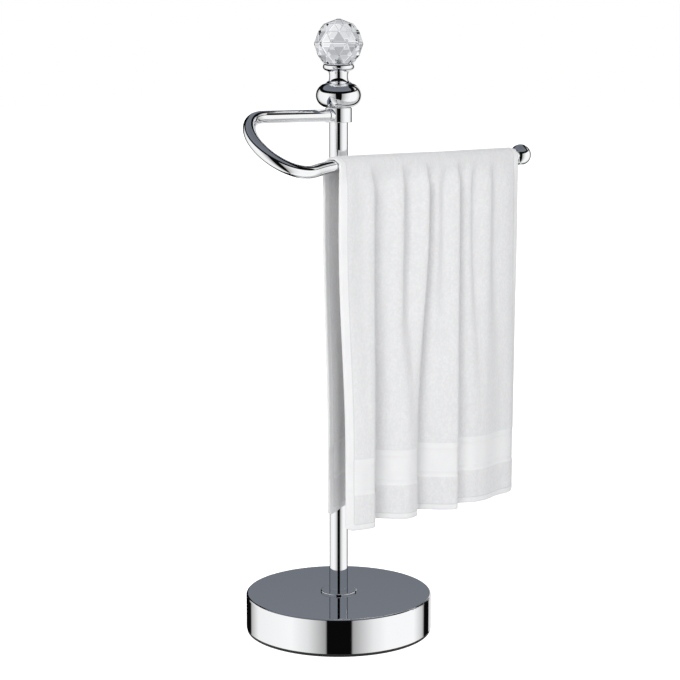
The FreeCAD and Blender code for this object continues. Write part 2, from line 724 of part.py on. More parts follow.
towel = doc.addObject("PartDesign::Body", "towel")
drape = new_sketch(towel, "towel_drape", "YZ_Plane")
draw(drape, [
    ("-towel_outer_radius", "-towel_front_drop"),
    ("-towel_inner_radius", "-towel_front_drop"),
    ("-towel_inner_radius", "0"),
    ("0", "towel_inner_radius"),
    ("towel_inner_radius", "0"),
    ("towel_inner_radius", "-towel_back_drop"),
    ("towel_outer_radius", "-towel_back_drop"),
    ("towel_outer_radius", "0"),
    ("0", "towel_outer_radius"),
    ("-towel_outer_radius", "0"),
], {
    2: ("towel_inner_radius", -1),
    3: ("towel_inner_radius", -1),
    7: ("towel_outer_radius", 1),
    8: ("towel_outer_radius", 1),
})
cloth = towel.newObject("PartDesign::Pad", "towel_cloth")
cloth.Profile = drape
bind(cloth, "Length", "towel_width")
place(towel, "towel_start", "-bar_side", "bar_height")
pieces.append(towel)

# ---------------------------------------------------------------- checks and files

doc.recompute()
faults = []
for thing in doc.Objects:
    if {"Invalid", "Error"} & set(thing.State):
        faults.append(f"{thing.Name} {thing.State}")
for piece in pieces:
    if piece.Shape.isNull() or not piece.Shape.isValid():
        faults.append(f"{piece.Label} has no valid shape")
if faults:
    raise RuntimeError("; ".join(faults))

os.makedirs("parts", exist_ok=True)
for piece in pieces:
    piece.Shape.exportStep(f"parts/{piece.Label}.step")
    print(f"{piece.Label}: {len(piece.Shape.Solids)} solid, {piece.Shape.Volume:.0f} cubic mm")
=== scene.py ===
import bisect
import json
import math

import bmesh
import bpy
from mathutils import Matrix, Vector, noise


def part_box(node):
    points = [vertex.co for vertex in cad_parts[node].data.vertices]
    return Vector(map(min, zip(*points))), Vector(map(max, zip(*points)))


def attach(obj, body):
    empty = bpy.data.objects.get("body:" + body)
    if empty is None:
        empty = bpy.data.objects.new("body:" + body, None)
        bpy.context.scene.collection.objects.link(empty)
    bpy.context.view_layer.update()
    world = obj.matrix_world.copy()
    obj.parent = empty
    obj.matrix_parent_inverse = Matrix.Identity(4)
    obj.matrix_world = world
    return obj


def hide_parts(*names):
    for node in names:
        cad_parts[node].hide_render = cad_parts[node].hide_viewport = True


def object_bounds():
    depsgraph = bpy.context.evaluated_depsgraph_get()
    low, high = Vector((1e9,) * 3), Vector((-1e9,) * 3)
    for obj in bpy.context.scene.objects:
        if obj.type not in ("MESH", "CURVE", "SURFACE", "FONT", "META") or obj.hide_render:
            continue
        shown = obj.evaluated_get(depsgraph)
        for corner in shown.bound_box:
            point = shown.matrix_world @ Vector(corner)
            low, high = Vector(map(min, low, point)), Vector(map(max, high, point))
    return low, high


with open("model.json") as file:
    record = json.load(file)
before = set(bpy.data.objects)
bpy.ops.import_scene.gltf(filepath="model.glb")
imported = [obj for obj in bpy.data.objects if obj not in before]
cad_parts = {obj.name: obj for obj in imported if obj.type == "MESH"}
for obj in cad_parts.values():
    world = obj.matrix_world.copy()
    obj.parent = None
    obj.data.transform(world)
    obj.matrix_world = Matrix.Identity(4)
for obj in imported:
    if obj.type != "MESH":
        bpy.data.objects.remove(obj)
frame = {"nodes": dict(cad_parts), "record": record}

# Countertop hand-towel stand. Metres, +Z up, the origin under the centre of the base, +X along the
# towel bar towards its free end, -Y the side of the post that the bar stands on.

cad_low, cad_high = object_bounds()
nodes = frame["nodes"]
scene = bpy.context.scene

# ---------------------------------------------------------------- camera

EYE = (-1.0599, -0.9411, 0.4602)
VIEW_AZIMUTH = math.radians(-48.441)
VIEW_PITCH = math.radians(7.086)
LENS = 91.91
SHIFT = -0.07                     # brings the stand to the middle of the frame

camera_data = bpy.data.cameras.new("camera")
camera_data.lens = LENS
camera_data.shift_y = SHIFT
camera_data.clip_end = 50
camera = bpy.data.objects.new("camera", camera_data)
scene.collection.objects.link(camera)
camera.location = EYE
camera.rotation_euler = (math.pi / 2 - VIEW_PITCH, 0, VIEW_AZIMUTH)
scene.camera = camera
scene.view_settings.view_transform = "Standard"

# ---------------------------------------------------------------- node building


class Tree:
    """A short way to write shader node trees."""

    def __init__(self, owner):
        owner.use_nodes = True
        self.tree = owner.node_tree
        self.tree.nodes.clear()

    def add(self, kind, settings=None, **inputs):
        node = self.tree.nodes.new(kind)
        for name, value in (settings or {}).items():
            setattr(node, name, value)
        for name, value in inputs.items():
            self.feed(node, name, value)
        return node

    def feed(self, node, name, value):
        """Links or sets an input, which is given by its name or, as i0, i1 and so on, by its number."""
        socket = node.inputs[int(name[1:])] if name[0] == "i" and name[1:].isdigit() else node.inputs[name]
        if isinstance(value, bpy.types.NodeSocket):
            self.tree.links.new(value, socket)
        else:
            socket.default_value = value

    def math(self, operation, first, second=0.0, clamp=False):
        node = self.add("ShaderNodeMath", {"operation": operation, "use_clamp": clamp}, i0=first, i1=second)
        return node.outputs[0]

    def ramp(self, factor, stops):
        """A colour ramp. stops are (position, grey or colour)."""
        node = self.add("ShaderNodeValToRGB", i0=factor)
        ramp = node.color_ramp
        while len(ramp.elements) < len(stops):
            ramp.elements.new(1.0)
        for element, (position, _) in zip(ramp.elements, stops):
            element.position = position
        for element, (_, colour) in zip(ramp.elements, stops):
            if not isinstance(colour, tuple):
                colour = (colour, colour, colour)
            element.color = (*colour, 1.0)
        return node.outputs["Color"]

    def map_range(self, value, from_low, from_high, to_low, to_high):
        node = self.add("ShaderNodeMapRange", i0=value, i1=from_low, i2=from_high, i3=to_low, i4=to_high)
        return node.outputs[0]

    def noise(self, scale, detail=2.0, roughness=0.5, vector=None):
        if vector is None:
            vector = self.add("ShaderNodeTexCoord").outputs["Object"]
        node = self.add("ShaderNodeTexNoise", Vector=vector, Scale=scale, Detail=detail, Roughness=roughness)
        return node.outputs["Fac"]

    def bump(self, height, strength, distance):
        node = self.add("ShaderNodeBump", Strength=strength, Distance=distance, Height=height)
        return node.outputs["Normal"]

    def mix(self, factor, first, second):
        node = self.add("ShaderNodeMix", {"data_type": "RGBA"}, i0=factor, i6=first, i7=second)
        return node.outputs[2]


def material(name):
    made = bpy.data.materials.new(name)
    tree = Tree(made)
    shader = tree.add("ShaderNodeBsdfPrincipled")
    output = tree.add("ShaderNodeOutputMaterial")
    tree.tree.links.new(shader.outputs["BSDF"], output.inputs["Surface"])
    return made, tree, shader


# ---------------------------------------------------------------- studio

FRONT = math.radians(-47)         # the studio's front, from -Y round towards +X
TOWARDS_FRONT = (math.sin(FRONT), -math.cos(FRONT), 0.0)
RIGHT = (math.cos(FRONT), math.sin(FRONT), 0.0)
SLATE = (0.195, 0.213, 0.246)
BLACK = 0.003
WHITE = (1.0, 1.0, 1.0, 1)
EDGE = 0.012                      # softness of a panel's edge, as a part of a right angle

# brightness round the horizon, as (degrees from the front, grey): bright walls with soft falls
# towards narrow black panels at the front and at the back
WALLS = [
    (-180, BLACK), (-143, BLACK), (-140, 0.45), (-120, 0.92), (-62, 1.0), (-40, 0.8), (-17.5, 0.36),
    (-15.5, BLACK), (14.0, BLACK), (16.0, 0.38), (42, 0.85), (60, 1.0), (105, 1.0), (124, 0.62),
    (129, 0.36), (131, BLACK), (149, BLACK), (151, 0.72), (180, 0.78),
]
# where the black border over the walls starts and where the slate ceiling starts, as (degrees from
# the front, degrees above the horizon)
BORDER = [
    (-180, 3), (-176, 3), (-163, 24), (-110, 20), (-20, 13), (20, 13), (80, 22), (102, 24), (116, 38),
    (135, 48), (146, 37), (158, 24), (173, 4), (180, 3),
]
CEILING = [
    (-180, 9), (-176, 9), (-163, 42), (-110, 35), (-20, 35), (20, 35), (80, 36), (98, 58), (150, 58),
    (160, 44), (174, 9), (180, 9),
]
# where a black strip across the right-hand wall ends at its top, in the same way, and starts
STRIP = [(-180, 0), (68, 0), (76, 29), (134, 29), (142, 0), (180, 0)]
STRIP_BOTTOM = 22
# what two surfaces meet instead: matt ones an even light, and clear glass mostly a bright white
EVEN_LIGHT = (0.53, 0.534, 0.541, 1)
GLASS_WHITE = (1.12, 1.125, 1.14, 1)
GLASS_SHARE = 0.84


def make_studio():
    """A surrounding studio: bright walls with black panels, a slate ceiling, white for the camera."""
    world = bpy.data.worlds.new("studio")
    scene.world = world
    tree = Tree(world)
    black = (BLACK, BLACK, BLACK, 1)
    ray = tree.add("ShaderNodeTexCoord").outputs["Generated"]
    forward = tree.add("ShaderNodeVectorMath", {"operation": "DOT_PRODUCT"}, i0=ray, i1=TOWARDS_FRONT)
    sideways = tree.add("ShaderNodeVectorMath", {"operation": "DOT_PRODUCT"}, i0=ray, i1=RIGHT)
    height = tree.add("ShaderNodeSeparateXYZ", i0=ray).outputs["Z"]
    turn = tree.math("ARCTAN2", sideways.outputs["Value"], forward.outputs["Value"])
    turn = tree.map_range(turn, -math.pi, math.pi, 0.0, 1.0)
    rise = tree.math("MULTIPLY", tree.math("ARCSINE", height), 2 / math.pi)

    def round_the_horizon(knots, unit=1):
        return tree.ramp(turn, [((angle + 180) / 360, value / unit) for angle, value in knots])

    def past(higher, lower):
        """0 to 1 where one elevation passes another."""
        return tree.map_range(tree.math("SUBTRACT", higher, lower), 0.0, EDGE, 0.0, 1.0)

    walls = round_the_horizon(WALLS)
    under_strip_top = past(round_the_horizon(STRIP, 90), rise)
    over_strip_bottom = tree.map_range(rise, STRIP_BOTTOM / 90, STRIP_BOTTOM / 90 + EDGE, 0.0, 1.0)
    striped = tree.mix(tree.math("MULTIPLY", under_strip_top, over_strip_bottom), walls, black)
    fade = tree.ramp(rise, [(0.17, 0.82), (0.22, 1.0), (0.9, 0.76)])
    slate = tree.add("ShaderNodeVectorMath", {"operation": "MULTIPLY"}, i0=SLATE, i1=fade).outputs[0]
    above = tree.mix(past(rise, round_the_horizon(CEILING, 90)), black, slate)
    room = tree.mix(past(rise, round_the_horizon(BORDER, 90)), striped, above)
    # what one mirror shows in another: the low ceiling, with the same dark panels
    path = tree.add("ShaderNodeLightPath")
    again = tree.math("GREATER_THAN", path.outputs["Glossy Depth"], 1.5)
    again = tree.math("MULTIPLY", again, tree.map_range(rise, 0.08, 0.11, 0.0, 1.0))
    panels = tree.math("MULTIPLY", walls, 2.5, clamp=True)
    low_slate = tree.add("ShaderNodeVectorMath", {"operation": "SCALE"}, i0=slate, Scale=panels)
    room = tree.mix(again, room, low_slate.outputs[0])
    through = tree.mix(GLASS_SHARE, room, GLASS_WHITE)
    room = tree.mix(path.outputs["Is Transmission Ray"], room, through)
    seen = tree.mix(path.outputs["Is Camera Ray"], room, WHITE)
    lit = tree.mix(path.outputs["Is Diffuse Ray"], seen, EVEN_LIGHT)
    background = tree.add("ShaderNodeBackground", Color=lit, Strength=1.0)
    output = tree.add("ShaderNodeOutputWorld")
    tree.tree.links.new(background.outputs[0], output.inputs[0])


def make_floor():
    """A wide white table. It glows for the camera, so that it meets the white room unseen."""
    mesh = bpy.data.meshes.new("floor")
    half = 20.0
    corners = [(-half, -half, 0), (half, -half, 0), (half, half, 0), (-half, half, 0)]
    mesh.from_pydata(corners, [], [(0, 1, 2, 3)])
    floor = bpy.data.objects.new("floor", mesh)
    scene.collection.objects.link(floor)
    made, tree, shader = material("floor_white")
    shader.inputs["Base Color"].default_value = (0.8, 0.8, 0.8, 1)
    shader.inputs["Roughness"].default_value = 0.9
    shader.inputs["Specular IOR Level"].default_value = 0.0
    shader.inputs["Emission Color"].default_value = (1, 1, 1, 1)
    seen = tree.add("ShaderNodeLightPath").outputs["Is Camera Ray"]
    tree.feed(shader, "Emission Strength", tree.map_range(seen, 0.0, 1.0, 0.1, 0.85))
    mesh.materials.append(made)
    floor.visible_glossy = False
    floor.visible_transmission = False
    floor.location.z = cad_low.z - 0.0002


def make_light(name, place, size, power):
    """A round soft light aimed at the middle of the stand, unseen in mirrors and glass."""
    data = bpy.data.lights.new(name, "AREA")
    data.shape = "DISK"
    data.size = size
    data.energy = power
    light = bpy.data.objects.new(name, data)
    scene.collection.objects.link(light)
    light.location = place
    target = (cad_low + cad_high) / 2
    light.rotation_euler = (target - light.location).to_track_quat("-Z", "Y").to_euler()
    light.visible_glossy = False
    light.visible_transmission = False


make_studio()
make_floor()
make_light("key", Vector((-1.52, -0.90, 0.98)), size=0.7, power=15)
make_light("fill", Vector((0.5, -1.9, 1.1)), size=0.9, power=5)
make_light("back", Vector((0.9, 1.8, 1.1)), size=0.9, power=10)

# ---------------------------------------------------------------- metals, rubber and plastics


def chrome():
    """Polished chrome plate with faint wiping marks."""
    made, tree, shader = material("chrome_plate")
    shader.inputs["Base Color"].default_value = (0.93, 0.935, 0.945, 1)
    shader.inputs["Metallic"].default_value = 1.0
    cloud = tree.noise(35, 3, 0.6)
    tree.feed(shader, "Roughness", tree.map_range(cloud, 0.3, 0.75, 0.015, 0.045))
    fine = tree.noise(900, 2, 0.5)
    tree.feed(shader, "Normal", tree.bump(fine, 0.02, 0.00002))
    return made


def zinc_steel():
    """Zinc-plated steel fastenings: bright, slightly mottled."""
    made, tree, shader = material("zinc_steel")
    shader.inputs["Metallic"].default_value = 1.0
    cloud = tree.noise(220, 4, 0.6)
    tree.feed(shader, "Base Color", tree.ramp(cloud, [(0.3, (0.5, 0.51, 0.53)), (0.7, (0.7, 0.71, 0.72))]))
    tree.feed(shader, "Roughness", tree.map_range(cloud, 0.2, 0.8, 0.25, 0.45))
    tree.feed(shader, "Normal", tree.bump(tree.noise(1500), 0.1, 0.0001))
    return made


def cast_iron():
    """Bare cast iron: dark, coarse and dull."""
    made, tree, shader = material("cast_iron")
    shader.inputs["Metallic"].default_value = 0.7
    grain = tree.noise(600, 5, 0.65)
    greys = [(0.3, (0.05, 0.05, 0.052)), (0.75, (0.13, 0.13, 0.135))]
    tree.feed(shader, "Base Color", tree.ramp(grain, greys))
    tree.feed(shader, "Roughness", tree.map_range(grain, 0.2, 0.8, 0.5, 0.75))
    tree.feed(shader, "Normal", tree.bump(grain, 0.5, 0.0004))
    return made


def rubber():
    """Moulded black rubber with a fine matt skin."""
    made, tree, shader = material("black_rubber")
    grain = tree.noise(1400, 3, 0.6)
    blacks = [(0.35, (0.010, 0.010, 0.011)), (0.7, (0.022, 0.022, 0.023))]
    tree.feed(shader, "Base Color", tree.ramp(grain, blacks))
    tree.feed(shader, "Roughness", tree.map_range(grain, 0.3, 0.7, 0.55, 0.75))
    tree.feed(shader, "Normal", tree.bump(grain, 0.3, 0.0001))
    return made


def nylon():
    """Natural nylon, slightly see-through."""
    made, tree, shader = material("nylon")
    cloud = tree.noise(300, 3, 0.5)
    tree.feed(shader, "Base Color", tree.ramp(cloud, [(0.3, (0.72, 0.70, 0.65)), (0.7, (0.8, 0.79, 0.74))]))
    tree.feed(shader, "Roughness", tree.map_range(cloud, 0.2, 0.8, 0.35, 0.5))
    shader.inputs["Subsurface Weight"].default_value = 0.2
    return made


def clear_silicone():
    """A clear silicone ring with a satin skin."""
    made, tree, shader = material("clear_silicone")
    shader.inputs["Base Color"].default_value = (0.95, 0.96, 0.97, 1)
    shader.inputs["Transmission Weight"].default_value = 1.0
    shader.inputs["IOR"].default_value = 1.41
    tree.feed(shader, "Roughness", tree.map_range(tree.noise(500), 0.3, 0.7, 0.05, 0.15))
    return made


def crystal_glass():
    """Cut lead crystal, polished flat, with painted light and shade: a random grey on every facet."""
    made, tree, shader = material("crystal_glass")
    # painted light and shade: every facet gets a random grey, from dark to white, standing in for what the
    # facets refract
    facing = tree.add("ShaderNodeTexCoord").outputs["Normal"]
    facing = tree.add("ShaderNodeVectorMath", {"operation": "SNAP"}, i0=facing, i1=(0.031, 0.031, 0.031))
    facet_random = tree.add("ShaderNodeTexWhiteNoise", Vector=facing.outputs[0]).outputs["Value"]
    painted_facet_light = tree.ramp(facet_random, [(0.15, (0.36, 0.37, 0.39)), (0.5, (0.93, 0.94, 0.95)), (0.6, (0.99, 0.995, 1.0))])
    tree.feed(shader, "Base Color", painted_facet_light)
    shader.inputs["Transmission Weight"].default_value = 1.0
    shader.inputs["IOR"].default_value = 1.48
    tree.feed(shader, "Roughness", tree.map_range(tree.noise(120), 0.35, 0.75, 0.0, 0.003))
    return made


FINISHES = {
    "chrome_plate": chrome(),
    "zinc_steel": zinc_steel(),
    "cast_iron": cast_iron(),
    "black_rubber": rubber(),
    "nylon": nylon(),
    "clear_seat": clear_silicone(),
    "crystal": crystal_glass(),
}


def finish_nodes():
    """Gives every CAD node the finish of its material slot."""
    for part in frame["record"]["subparts"]:
        made = FINISHES.get(part["material_slot"])
        if made is None:
            continue
        mesh = nodes[part["node"]].data
        mesh.materials.clear()
        mesh.materials.append(made)


finish_nodes()

# ---------------------------------------------------------------- crystal

CRYSTAL_RADIUS = 0.020
CRYSTAL_SIDES = 10
CRYSTAL_TURN = 25                         # direction of one corner of the girdle, from +X
CRYSTAL_ROWS = (-52, -28.7, 0, 28.7, 52)  # latitudes of the corners
CRYSTAL_BEVEL = 0.0004
BORE_RADIUS = 0.00305
BORE_DEPTH = 0.0062
BORE_SIDES = 24


def make_crystal():
    """A ball cut in rows of triangles, every edge finely bevelled, with a bore for the stud."""
    low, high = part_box("crystal_ball")
    centre = low.z + CRYSTAL_RADIUS * math.sin(math.radians(-CRYSTAL_ROWS[0]))
    mesh = bmesh.new()

    def ring(radius, z, count, turn):
        angles = [math.radians(turn + 360 * i / count) for i in range(count)]
        return [mesh.verts.new((radius * math.cos(angle), radius * math.sin(angle), z)) for angle in angles]

    rings = []
    for number, latitude in enumerate(CRYSTAL_ROWS):
        latitude = math.radians(latitude)
        turn = CRYSTAL_TURN + (180 / CRYSTAL_SIDES if number % 2 else 0)
        rings.append(ring(CRYSTAL_RADIUS * math.cos(latitude), centre + CRYSTAL_RADIUS * math.sin(latitude),
                          CRYSTAL_SIDES, turn))
    for number, (lower, upper) in enumerate(zip(rings, rings[1:])):
        for i in range(CRYSTAL_SIDES):
            following = (i + 1) % CRYSTAL_SIDES
            if number % 2:
                mesh.faces.new((lower[i], lower[following], upper[following]))
                mesh.faces.new((lower[i], upper[following], upper[i]))
            else:
                mesh.faces.new((lower[i], lower[following], upper[i]))
                mesh.faces.new((lower[following], upper[following], upper[i]))
    apex = mesh.verts.new((0, 0, high.z - 0.0001))
    for i in range(CRYSTAL_SIDES):
        mesh.faces.new((rings[-1][i], rings[-1][(i + 1) % CRYSTAL_SIDES], apex))
    bmesh.ops.bevel(mesh, geom=list(mesh.edges), offset=CRYSTAL_BEVEL, segments=1, affect="EDGES",
                    clamp_overlap=True)
    border = sorted((edge for edge in mesh.edges if edge.is_boundary), key=lambda edge: edge.verts[0].co.z)
    mouth = ring(BORE_RADIUS, low.z, BORE_SIDES, CRYSTAL_TURN)
    floor = ring(BORE_RADIUS, low.z + BORE_DEPTH, BORE_SIDES, CRYSTAL_TURN)
    mouth_edges = [mesh.edges.new((mouth[i], mouth[i - 1])) for i in range(BORE_SIDES)]
    bmesh.ops.bridge_loops(mesh, edges=border + mouth_edges)
    for i in range(BORE_SIDES):
        mesh.faces.new((mouth[i - 1], mouth[i], floor[i], floor[i - 1]))
    mesh.faces.new(floor)
    bmesh.ops.recalc_face_normals(mesh, faces=list(mesh.faces))
    data = bpy.data.meshes.new("cut_crystal")
    mesh.to_mesh(data)
    mesh.free()
    piece = bpy.data.objects.new("cut_crystal", data)
    scene.collection.objects.link(piece)
    return piece


crystal = make_crystal()
crystal.data.materials.append(FINISHES["crystal"])
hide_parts("crystal_ball")
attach(crystal, "stand")

# ---------------------------------------------------------------- towel

ball_low, ball_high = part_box("end_ball")
BAR = (ball_low + ball_high) / 2          # a point on the bar's axis
TUBE_RADIUS = 0.00495
REVERSE_RADIUS = 0.218                    # the tube's long arc, which ends where the bar is straight
BAR_START = -0.034
ARM_TILT = math.radians(40.3)             # the bend's plane, below level

CLOTH_LEFT, CLOTH_RIGHT = -0.0562, 0.1797
CLOTH_LENGTH = 0.588
CLOTH_SKEW = 0.0055                       # how far the back flap lies to the left of the front one
HEM_LEFT, HEM_RIGHT = 0.1020, 0.0965      # height of the front hem
PILE = 0.0013                             # half thickness of the pile,
PRESSED = 0.0010                          # of the pile where it lies on the bar,
WOVEN = 0.00075                           # of the smooth woven band
HEM_HALF = 0.00125                        # and of the folded hems,
SIDE_HEM_SHARE = 0.92                     # where the side hems are this much of it
HEM_WIDTH = 0.0052
SIDE_HEM_WIDTH = 0.0062
SEAM = 0.0005                             # half width of the stitched line along a hem
BAND_LOW, BAND_HIGH = 0.0285, 0.0575      # the smooth woven band, measured from the hem
BAND_EDGE = 0.0008                        # how far the pile takes to rise beside it
BAND_RIB = 0.0045                         # a fine rib inside each edge of the band
RIB_HEIGHT, RIB_HALF = 0.00022, 0.0006    # its height on each face and half its width
CORNER = 0.0045                           # radius of the cloth's corners
CORNER_REACH = 0.014                      # the corners' curve dies out this far from the hem
EDGE_ROUND = 0.0011                       # radius of its edges
ROLL = 0.023                              # the pleats reach their full depth this far below the bar
FALL_START = 0.045                        # the upper plan starts turning into the lower this far down,
FALL_SHORT = 0.105                        # over a stretch this much shorter than the flap
CLEAR = 0.00015                           # gap between the cloth and the tube
REST_HALF = 0.0095                        # half the length that lies on the bar
PRESSED_HALF, PRESSED_FADE = 0.010, 0.02  # half the pressed length, and how far it takes to fade
RIPPLE = 0.0007                           # unevenness of the hanging cloth
WARP, WEFT = 0.0009, 0.0007               # pitches of the plain weave and of the stitches
STITCH = 0.0024

# Pleats, seen from above in millimetres: the same knots just under the bar and at the hem.
FRONT_UPPER = [
    (-57, -50.5), (-48, -53), (-34.5, -53.5), (-21.5, -55.5), (-19, -48), (-10, -42), (2.5, -47),
    (16.5, -54), (21, -47.5), (31, -43.5), (47.5, -55), (50.5, -47.5), (59, -42.5), (68, -49),
    (76, -48.5), (88.5, -55.5), (92.5, -48.5), (100, -44), (109, -50), (117.5, -47), (132.5, -53.5),
    (143, -49), (160, -52.5), (177, -51),
]
FRONT_LOWER = [
    (-51, -52.5), (-44, -57), (-35, -60), (-25.5, -60.5), (-19, -48.5), (-5, -38.5), (4, -46.5),
    (10, -54), (17, -60), (25, -60), (32, -57), (38, -47.5), (48, -43), (56.5, -51), (64, -60),
    (74, -66.5), (80.5, -58), (92, -53), (104, -60), (112, -62), (121, -62.5), (141, -59.5),
    (157, -59.5), (169, -54),
]
BACK_UPPER = [
    (-59, -36.5), (-46, -34), (-31, -32), (-12, -30), (6, -34), (24, -38), (40, -33), (56, -31),
    (74, -36), (92, -38), (110, -33), (130, -34), (152, -37), (176, -36),
]
BACK_LOWER = [
    (-51, -34), (-40, -33), (-27, -28), (-9, -24.5), (7, -27), (22, -35), (38, -34), (52, -26),
    (68, -28), (84, -37), (100, -34), (118, -27), (140, -33), (164, -33),
]


def smooth(value):
    """0 to 1 with level ends."""
    value = min(max(value, 0.0), 1.0)
    return value * value * (3 - 2 * value)


def along_knots(knots, place):
    """The point in metres of a smooth line through the knots, place counted in knots."""
    last = len(knots) - 1
    first = min(max(int(place), 0), last - 1)
    t = place - first
    p0, p1, p2, p3 = (knots[min(max(first + step, 0), last)] for step in (-1, 0, 1, 2))
    point = []
    for a, b, c, d in zip(p0, p1, p2, p3):
        square = (2 * a - 5 * b + 4 * c - d) * t * t
        cube = (3 * b - a - 3 * c + d) * t ** 3
        point.append(0.5 * (2 * b + (c - a) * t + square + cube) / 1000)
    return point


class Pleats:
    """A hanging flap's plan, from just under the bar down to the hem."""

    def __init__(self, upper, lower):
        self.upper, self.lower = upper, lower
        self.left, self.right = upper[0][0] / 1000, upper[-1][0] / 1000
        self.places = [step / 20 for step in range(20 * (len(upper) - 1) + 1)]
        self.lengths = [0.0]
        for before, after in zip(self.places, self.places[1:]):
            steps = [
                math.dist(along_knots(knots, before), along_knots(knots, after))
                for knots in (upper, lower)
            ]
            self.lengths.append(self.lengths[-1] + sum(steps) / 2)

    def place(self, across):
        """The place in knots of a column of the cloth, across from 0 to 1."""
        wanted = across * self.lengths[-1]
        after = min(max(bisect.bisect_left(self.lengths, wanted), 1), len(self.lengths) - 1)
        low, high = self.lengths[after - 1], self.lengths[after]
        share = (wanted - low) / (high - low)
        return self.places[after - 1] + share * (self.places[after] - self.places[after - 1])

    def on_bar(self, across):
        """The x of a column where it lies on the bar, from 0 to 1 over the cloth's width there."""
        return (along_knots(self.upper, self.place(across))[0] - self.left) / (self.right - self.left)

    def point(self, across, drop, hem_drop):
        """The x and y of a column at a drop below the bar, where the hem hangs at hem_drop."""
        place = self.place(across)
        upper = along_knots(self.upper, place)
        lower = along_knots(self.lower, place)
        share = smooth((drop - FALL_START) / (hem_drop - FALL_SHORT))
        return [a + (b - a) * share for a, b in zip(upper, lower)]


def bar_centre(x):
    """The tube's centre line near the bar, in y and z."""
    reach = min(x - BAR_START, 0.0)
    sag = REVERSE_RADIUS - math.sqrt(REVERSE_RADIUS ** 2 - reach ** 2)
    return BAR.y - sag * math.cos(ARM_TILT), BAR.z - sag * math.sin(ARM_TILT)


def grid_lines(length, fine, step):
    """Places from 0 to length: the fine ones, the same from the far end, and even steps between."""
    lines = list(fine)
    count = max(round((length - 2 * fine[-1]) / step), 1)
    lines += [fine[-1] + (length - 2 * fine[-1]) * i / count for i in range(1, count)]
    lines += [length - place for place in reversed(fine)]
    return lines


def half_thickness(side, end, over_bar):
    """Half the cloth's thickness. side and end are the distances from a side edge and from a hem."""
    half = PILE + (PRESSED - PILE) * over_bar
    in_band = smooth((end - BAND_LOW) / BAND_EDGE) * smooth((BAND_HIGH - end) / BAND_EDGE)
    half += (WOVEN - half) * in_band
    for rib in (BAND_LOW + BAND_RIB, BAND_HIGH - BAND_RIB):
        half += RIB_HEIGHT * max(1 - abs(end - rib) / RIB_HALF, 0)
    if end < HEM_WIDTH:
        half = HEM_HALF
    if side < SIDE_HEM_WIDTH and end > HEM_WIDTH:
        half = min(half, HEM_HALF * SIDE_HEM_SHARE)
    return half


def towel_points():
    """The middle surface as rows of points from the front hem, over the bar, to the back hem."""
    front = Pleats(FRONT_UPPER, FRONT_LOWER)
    back = Pleats(BACK_UPPER, BACK_LOWER)
    radius = TUBE_RADIUS + PRESSED + CLEAR
    width = CLOTH_RIGHT - CLOTH_LEFT
    arch = math.pi * radius
    side_lines = [0, 0.0001, 0.0004, 0.0011, 0.0024, 0.0042, SIDE_HEM_WIDTH - SEAM, SIDE_HEM_WIDTH]
    side_lines += [SIDE_HEM_WIDTH + SEAM, 0.0082]
    columns = grid_lines(width, side_lines, 0.0016)
    end_lines = [0, 0.0001, 0.0004, 0.0011, 0.0024, 0.0038, HEM_WIDTH - SEAM, HEM_WIDTH]
    end_lines += [HEM_WIDTH + SEAM, 0.0078, 0.0115, 0.0155, 0.0195, 0.0235, 0.0265]
    for edge in (BAND_LOW, BAND_HIGH):
        end_lines += [edge - 0.0003, edge + 0.0004, edge + 0.0012]
    end_lines += [BAND_LOW + BAND_RIB + step for step in (-RIB_HALF, 0, RIB_HALF)]
    end_lines += [BAND_HIGH - BAND_RIB + step for step in (-RIB_HALF, 0, RIB_HALF)]
    end_lines += [0.0375, 0.0430, 0.0485, 0.0625]
    rows = grid_lines(CLOTH_LENGTH, sorted(end_lines), 0.0046)
    points, places = [], []
    for across in columns:
        share = across / width
        front_x = CLOTH_LEFT + width * front.on_bar(share)
        back_x = CLOTH_LEFT + width * back.on_bar(share) - CLOTH_SKEW
        side = min(across, width - across)
        lift = CORNER - math.sqrt(max(CORNER ** 2 - max(CORNER - side, 0.0) ** 2, 0.0))
        bar_y, bar_z = bar_centre(front_x)
        hem = HEM_LEFT + (HEM_RIGHT - HEM_LEFT) * share
        front_length = bar_z - hem
        back_length = CLOTH_LENGTH - arch - front_length
        for along in rows:
            end = min(along, CLOTH_LENGTH - along)
            raised = lift * max(1 - end / CORNER_REACH, 0.0)
            behind = smooth((along - front_length) / arch)
            x_top = front_x + (back_x - front_x) * behind
            if along < front_length:
                drop = front_length - along - raised
                y_top, pleats, hem_drop = bar_y - radius, front, front_length
            elif along > front_length + arch:
                drop = along - front_length - arch - raised
                y_top, pleats, hem_drop = bar_y + radius, back, back_length
            else:
                turn = (along - front_length) / radius
                y, z = bar_y - radius * math.cos(turn), bar_z + radius * math.sin(turn)
                points.append(Vector((x_top, y, z)))
                places.append((across, along))
                continue
            x, y = pleats.point(share, drop, hem_drop)
            grown = smooth(drop / ROLL)
            spot = Vector((x * 30, drop * 9, y_top * 50))
            x = x_top + (x - x_top) * grown
            y = y_top + (y - y_top) * grown + RIPPLE * grown * noise.noise(spot)
            points.append(Vector((x, y, bar_z - drop)))
            places.append((across, along))
    return columns, rows, points, places


